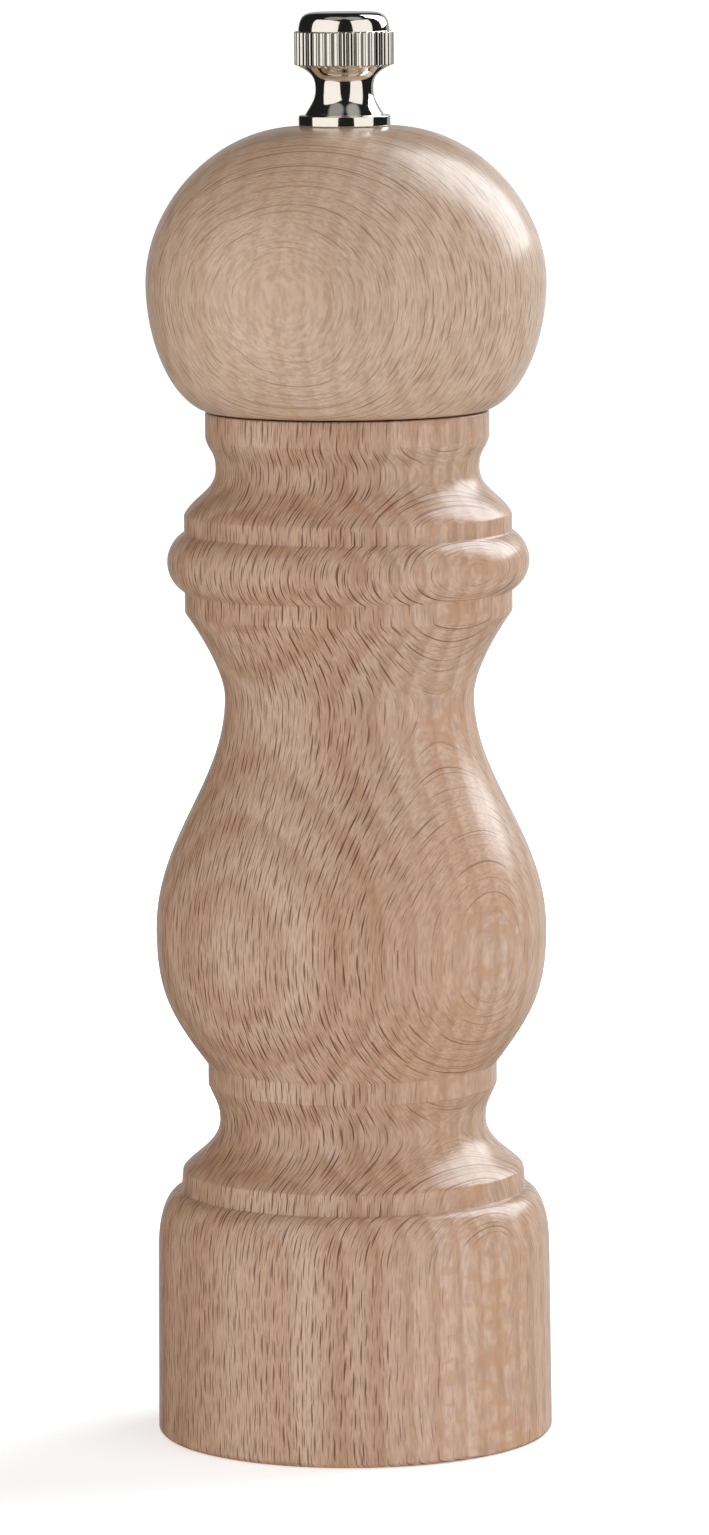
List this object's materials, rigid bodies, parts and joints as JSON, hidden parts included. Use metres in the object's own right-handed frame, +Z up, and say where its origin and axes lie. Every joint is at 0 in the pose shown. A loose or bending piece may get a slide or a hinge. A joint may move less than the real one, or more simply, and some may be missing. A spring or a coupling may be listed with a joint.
{
  "type": "pepper mill",
  "caption": "Turned wooden pepper mill: a ball head turns a square shaft and a steel cone in a fixed ring, and a knurled knob on top sets the grind.",
  "frame": {"origin": "centre of the ring-shaped face that the body stands on", "axes": "+Z up along the turning axis, towards the knob; +X and +Y are level"},
  "size_m": [0.0615, 0.0614, 0.22],
  "materials": {
    "body_wood": "satin lacquer",
    "head_wood": "satin lacquer",
    "knob_nickel": "bright nickel plate",
    "zinc_steel": "zinc plate",
    "screw_steel": "yellow zinc plate",
    "shaft_aluminium": "drawn",
    "spring_steel": "oiled",
    "bush_brass": "turned",
    "burr_steel": "hardened, dark"
  },
  "bodies": {
    "body": {"body": "body_wood", "burr_ring": "burr_steel", "ring_screws": "screw_steel", "bridge": "zinc_steel", "bridge_bush": "bush_brass"},
    "drive": {"thrust_washer": "zinc_steel", "spring": "spring_steel"},
    "spindle": {"shaft": "shaft_aluminium", "shaft_clip": "spring_steel", "burr_cone": "burr_steel", "cone_washer": "zinc_steel", "cone_nut": "zinc_steel"},
    "head": {"head": "head_wood", "drive_plate": "zinc_steel", "drive_plate_screws": "screw_steel"},
    "knob": {"adjusting_knob": "knob_nickel"}
  },
  "joints": [
    {"name": "head_spin", "type": "hinge", "parent": "body", "child": "drive", "pos_m": [0, 0, 0.03], "axis": [0, 0, 1], "continuous": true},
    {"name": "grind_adjust", "type": "slide", "parent": "drive", "child": "spindle", "axis": [0, 0, 1], "range_m": [0, 0.0016], "deforming": ["spring"]},
    {"name": "head_lift", "type": "slide", "parent": "drive", "child": "head", "axis": [0, 0, 1], "range_m": [0, 0.07]},
    {"name": "knob_turn", "type": "hinge", "parent": "head", "child": "knob", "pos_m": [0, 0, 0.21], "axis": [0, 0, -1], "range_deg": [0, 720]}
  ],
  "couplings": [
    {"joint": "grind_adjust", "follows": "knob_turn", "m_per_rad": 0.0001273}
  ]
}
